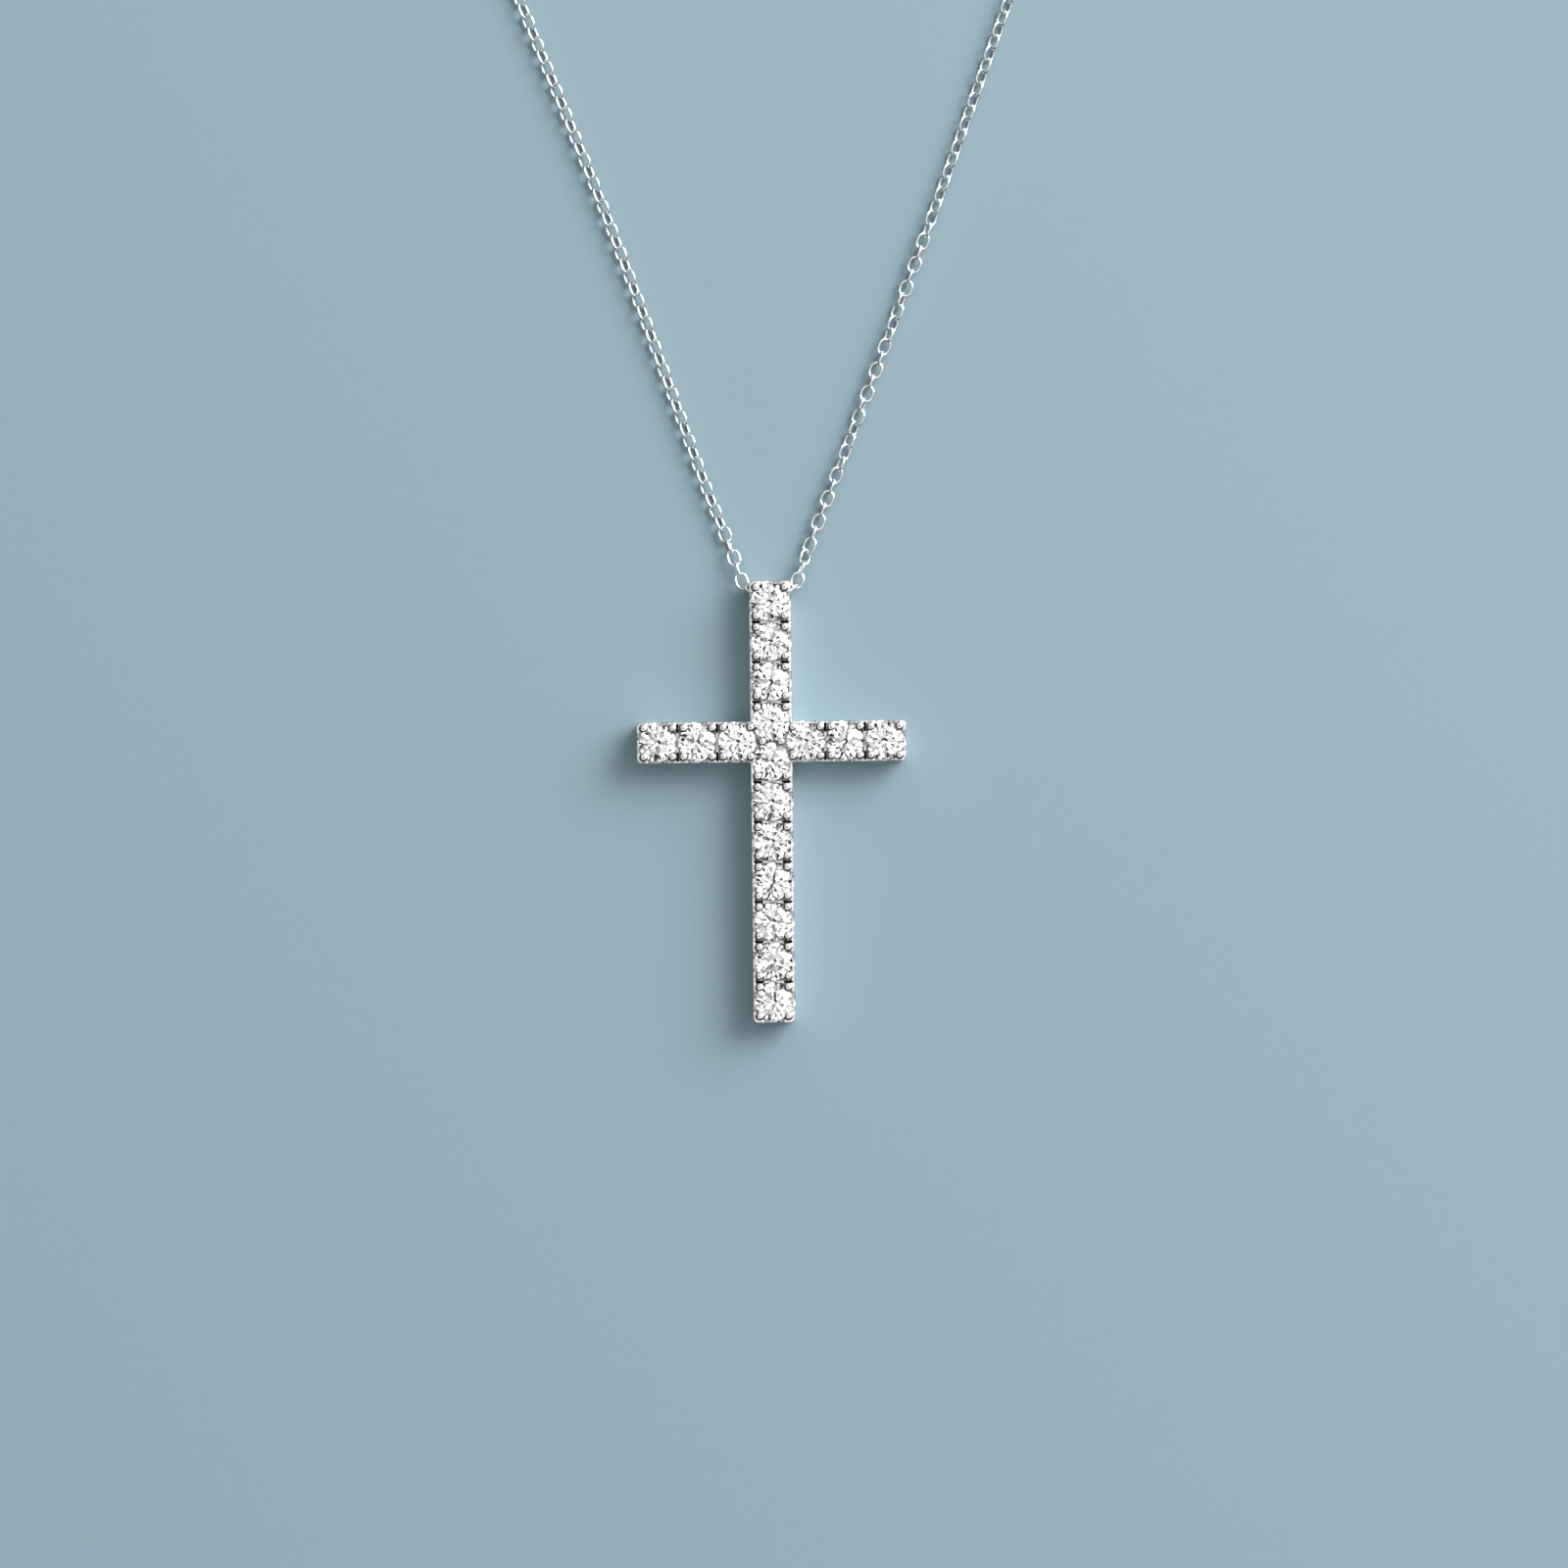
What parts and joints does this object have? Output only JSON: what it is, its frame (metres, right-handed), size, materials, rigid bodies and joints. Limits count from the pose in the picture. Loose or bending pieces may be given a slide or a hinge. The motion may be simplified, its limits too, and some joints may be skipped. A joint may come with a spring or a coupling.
{
  "type": "cross pendant on a neck chain",
  "caption": "Slim cross of round stones in prongs, its neck chain run through a tunnel in the head and closed by a ring clasp, lying on its back.",
  "frame": {"origin": "middle of the crossing, on the flat back that the cross lies on", "axes": "+Z out of the front of the stones, +Y along the upright towards the neck, +X to the right seen from the front"},
  "size_m": [0.1014, 0.2182, 0.0026],
  "materials": {
    "white_gold": "polished",
    "chain_gold": "polished",
    "diamond": "polished"
  },
  "bodies": {
    "root": {"setting": "white_gold", "upright_stone_1": "diamond", "upright_stone_2": "diamond", "upright_stone_3": "diamond", "upright_stone_4": "diamond", "upright_stone_5": "diamond", "upright_stone_6": "diamond", "upright_stone_7": "diamond", "upright_stone_8": "diamond", "upright_stone_9": "diamond", "upright_stone_10": "diamond", "upright_stone_11": "diamond", "left_stone_1": "diamond", "left_stone_2": "diamond", "left_stone_3": "diamond", "right_stone_1": "diamond", "right_stone_2": "diamond", "right_stone_3": "diamond", "neck_chain": "chain_gold", "clasp": "chain_gold", "clasp_ring": "chain_gold", "chain_ring": "chain_gold"}
  },
  "joints": []
}
